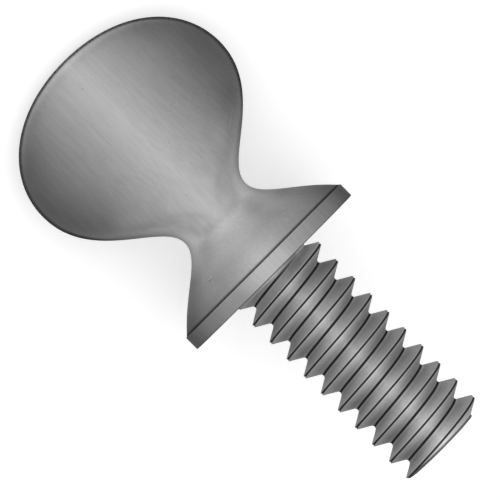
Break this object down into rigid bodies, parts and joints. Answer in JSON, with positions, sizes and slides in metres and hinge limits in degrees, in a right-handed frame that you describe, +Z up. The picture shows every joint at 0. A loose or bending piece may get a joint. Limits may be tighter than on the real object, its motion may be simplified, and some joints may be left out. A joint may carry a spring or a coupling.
{
  "type": "shoulder thumb screw",
  "caption": "One-piece steel thumb screw: a flat rounded spade to turn by hand, a round neck, a flared shoulder with a flat underside and a fully threaded shank.",
  "frame": {"origin": "bottom centre of the box of the screw as it lies at rest, on the rim of its shoulder and the end of its spade", "axes": "+Z up; +Y along the screw from spade to thread tip, seen from above, with the tip raised about 19 degrees; +X across the broad face of the spade"},
  "size_m": [0.0082, 0.0173, 0.0077],
  "materials": {
    "steel": "satin"
  },
  "bodies": {
    "root": {"thumb_screw": "steel"}
  },
  "joints": []
}
